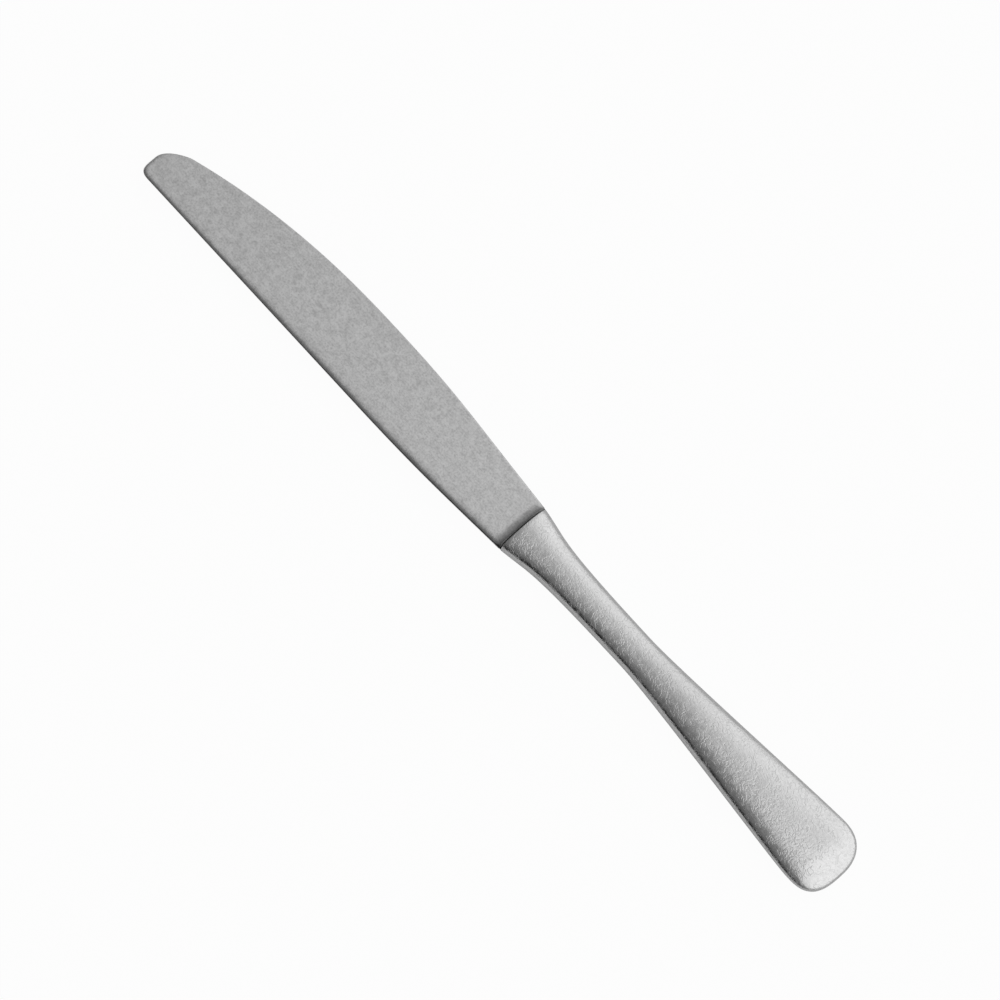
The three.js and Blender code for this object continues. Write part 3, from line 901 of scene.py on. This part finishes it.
class KNIFE_OT_blade(bpy.types.Operator):
    """Builds the blade with its worn corners, bolster, tenon and tang"""

    bl_idname = "knife.blade"
    bl_label = "Blade"

    def execute(self, context):
        scene = context.scene
        handle = HandleForm(scene.knife_handle)
        form = BladeForm(scene.knife_blade, handle)
        origin = axis_place(handle)
        piece = add_piece("knife_blade", blade_body(form), origin)
        cut_key_holes(piece, form, origin)
        dress(piece, stonewashed("blade", scene.knife_finish))
        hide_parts("blade")
        return {"FINISHED"}


class KNIFE_OT_handle(bpy.types.Operator):
    """Builds the two halves of the hollow handle"""

    bl_idname = "knife.handle"
    bl_label = "Handle"

    def execute(self, context):
        scene = context.scene
        form = HandleForm(scene.knife_handle)
        steel = stonewashed("handle", scene.knife_finish)
        for node, side in (("upper_handle_shell", 1), ("lower_handle_shell", -1)):
            piece = add_piece(f"knife_{node}", shell_body(form, side), axis_place(form))
            dress(piece, steel)
            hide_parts(node)
        return {"FINISHED"}


class KNIFE_OT_inside(bpy.types.Operator):
    """Finishes the braze and the cement inside the handle"""

    bl_idname = "knife.inside"
    bl_label = "Inside of the handle"

    def execute(self, context):
        finish = context.scene.knife_finish
        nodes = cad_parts
        dress(nodes["seam_braze"], brazing_metal("brazing_metal", finish.braze_colour, finish))
        dress(nodes["tang_cement"], filler("handle_cement", finish.cement_colour, finish))
        return {"FINISHED"}


def add_sheet(name, corners):
    """A flat four-cornered sheet of the stage."""
    mesh = bpy.data.meshes.new(name)
    mesh.from_pydata(corners, [], [range(4)])
    sheet = bpy.data.objects.new(name, mesh)
    bpy.context.scene.collection.objects.link(sheet)
    return sheet


def table_material(stage):
    """Pale table, nearly white to the camera and a little in metal, that keeps a faint shadow."""
    material, graph = new_material("pale_table")
    spot = graph.node("ShaderNodeTexCoord", {}, {}, "Object")
    cloud = graph.noise(spot, TABLE_CLOUDS, detail=2)
    dark, light = (shaded(stage.table_colour, level) for level in (TABLE_TONE, 1))
    tint = graph.mix(cloud, dark, light)
    camera, glossy, through = (
        graph.node("ShaderNodeLightPath", {}, {}, f"Is {ray} Ray") for ray in SEEN_RAYS
    )
    white = (camera + through) * stage.table_glow + glossy * stage.table_sheen
    matt = graph.node("ShaderNodeBsdfDiffuse", {}, {"Color": tint})
    glow = graph.node("ShaderNodeEmission", {}, {"Color": WHITE, "Strength": 1})
    both = graph.node("ShaderNodeMixShader", {}, {0: white, 1: matt, 2: glow})
    graph.node("ShaderNodeOutputMaterial", {}, {"Surface": both})
    return material


def toward(azimuth, elevation):
    """A direction round from +X and up from the table."""
    flat = math.cos(elevation)
    return Vector((math.cos(azimuth) * flat, math.sin(azimuth) * flat, math.sin(elevation)))


def round_patch(graph, look, azimuth, elevation, rim, core):
    """1 at the middle of a round part of the studio, fading out to 0 at its rim."""
    settings = {"operation": "DOT_PRODUCT"}
    sockets = {0: look, 1: toward(azimuth, elevation)}
    middle = graph.node("ShaderNodeVectorMath", settings, sockets, "Value")
    return middle.clipped(math.cos(rim), math.cos(core))


class KNIFE_OT_stage(bpy.types.Operator):
    """Sets up the table, the light and the camera"""

    bl_idname = "knife.stage"
    bl_label = "Stage"

    def execute(self, context):
        scene = context.scene
        stage = scene.knife_stage
        half = stage.table_size / 2
        corners = [(-half, -half, 0), (half, -half, 0), (half, half, 0), (-half, half, 0)]
        dress(add_sheet("table", corners), table_material(stage))
        self.add_room(scene, stage)
        self.add_camera(scene, stage)
        scene.view_settings.view_transform = "Standard"
        return {"FINISHED"}

    def add_room(self, scene, stage):
        scene.world = bpy.data.worlds.new("studio")
        graph = Graph(scene.world)
        look = graph.node("ShaderNodeTexCoord", {}, {}, "Generated")
        side, end, card, wall = (
            round_patch(graph, look, *(getattr(stage, f"{name}_{size}") for size in PATCH_SIZES))
            for name in ("side", "end", "card", "wall")
        )
        lamps = stage.room_level + side * stage.side_level + end * stage.end_level
        unshaded = (1 - card * stage.card_depth) * (1 - wall * stage.wall_depth)
        level = lamps.at_most(stage.brightest) * unshaded
        light = graph.node("ShaderNodeBackground", {}, {"Color": WHITE, "Strength": level})
        graph.node("ShaderNodeOutputWorld", {}, {"Surface": light})

    def add_camera(self, scene, stage):
        lens = bpy.data.cameras.new("camera")
        lens.lens = stage.lens
        camera = bpy.data.objects.new("camera", lens)
        aside, up = stage.azimuth, stage.elevation
        back = Vector((math.sin(aside) * math.cos(up), -math.cos(aside) * math.cos(up), math.sin(up)))
        camera.location = Vector(stage.target) + back * stage.distance
        camera.rotation_euler = (math.pi / 2 - up, 0, aside)
        scene.collection.objects.link(camera)
        scene.camera = camera


OPERATORS = (KNIFE_OT_blade, KNIFE_OT_handle, KNIFE_OT_inside, KNIFE_OT_stage)
GROUPS = {
    "knife_blade": KnifeBladeSizes,
    "knife_handle": KnifeHandleSizes,
    "knife_finish": KnifeFinish,
    "knife_stage": KnifeStage,
}


class KNIFE_PT_panel(bpy.types.Panel):
    """Lists the knife's pieces and their sizes"""

    bl_idname = "KNIFE_PT_panel"
    bl_label = "Table knife"
    bl_space_type = "VIEW_3D"
    bl_region_type = "UI"
    bl_category = "Knife"

    def draw(self, context):
        for operator in OPERATORS:
            self.layout.operator(operator.bl_idname)
        for name, group in GROUPS.items():
            box = self.layout.box()
            for size in group.__annotations__:
                box.prop(getattr(context.scene, name), size)


CLASSES = (*GROUPS.values(), *OPERATORS, KNIFE_PT_panel)


def register():
    for made in CLASSES:
        bpy.utils.register_class(made)
    for name, group in GROUPS.items():
        setattr(bpy.types.Scene, name, PointerProperty(type=group))


def unregister():
    for name in GROUPS:
        delattr(bpy.types.Scene, name)
    for made in reversed(CLASSES):
        bpy.utils.unregister_class(made)


def main():
    register()
    bpy.ops.knife.blade()
    bpy.ops.knife.handle()
    bpy.ops.knife.inside()
    bpy.ops.knife.stage()


if __name__ == "__main__":
    main()
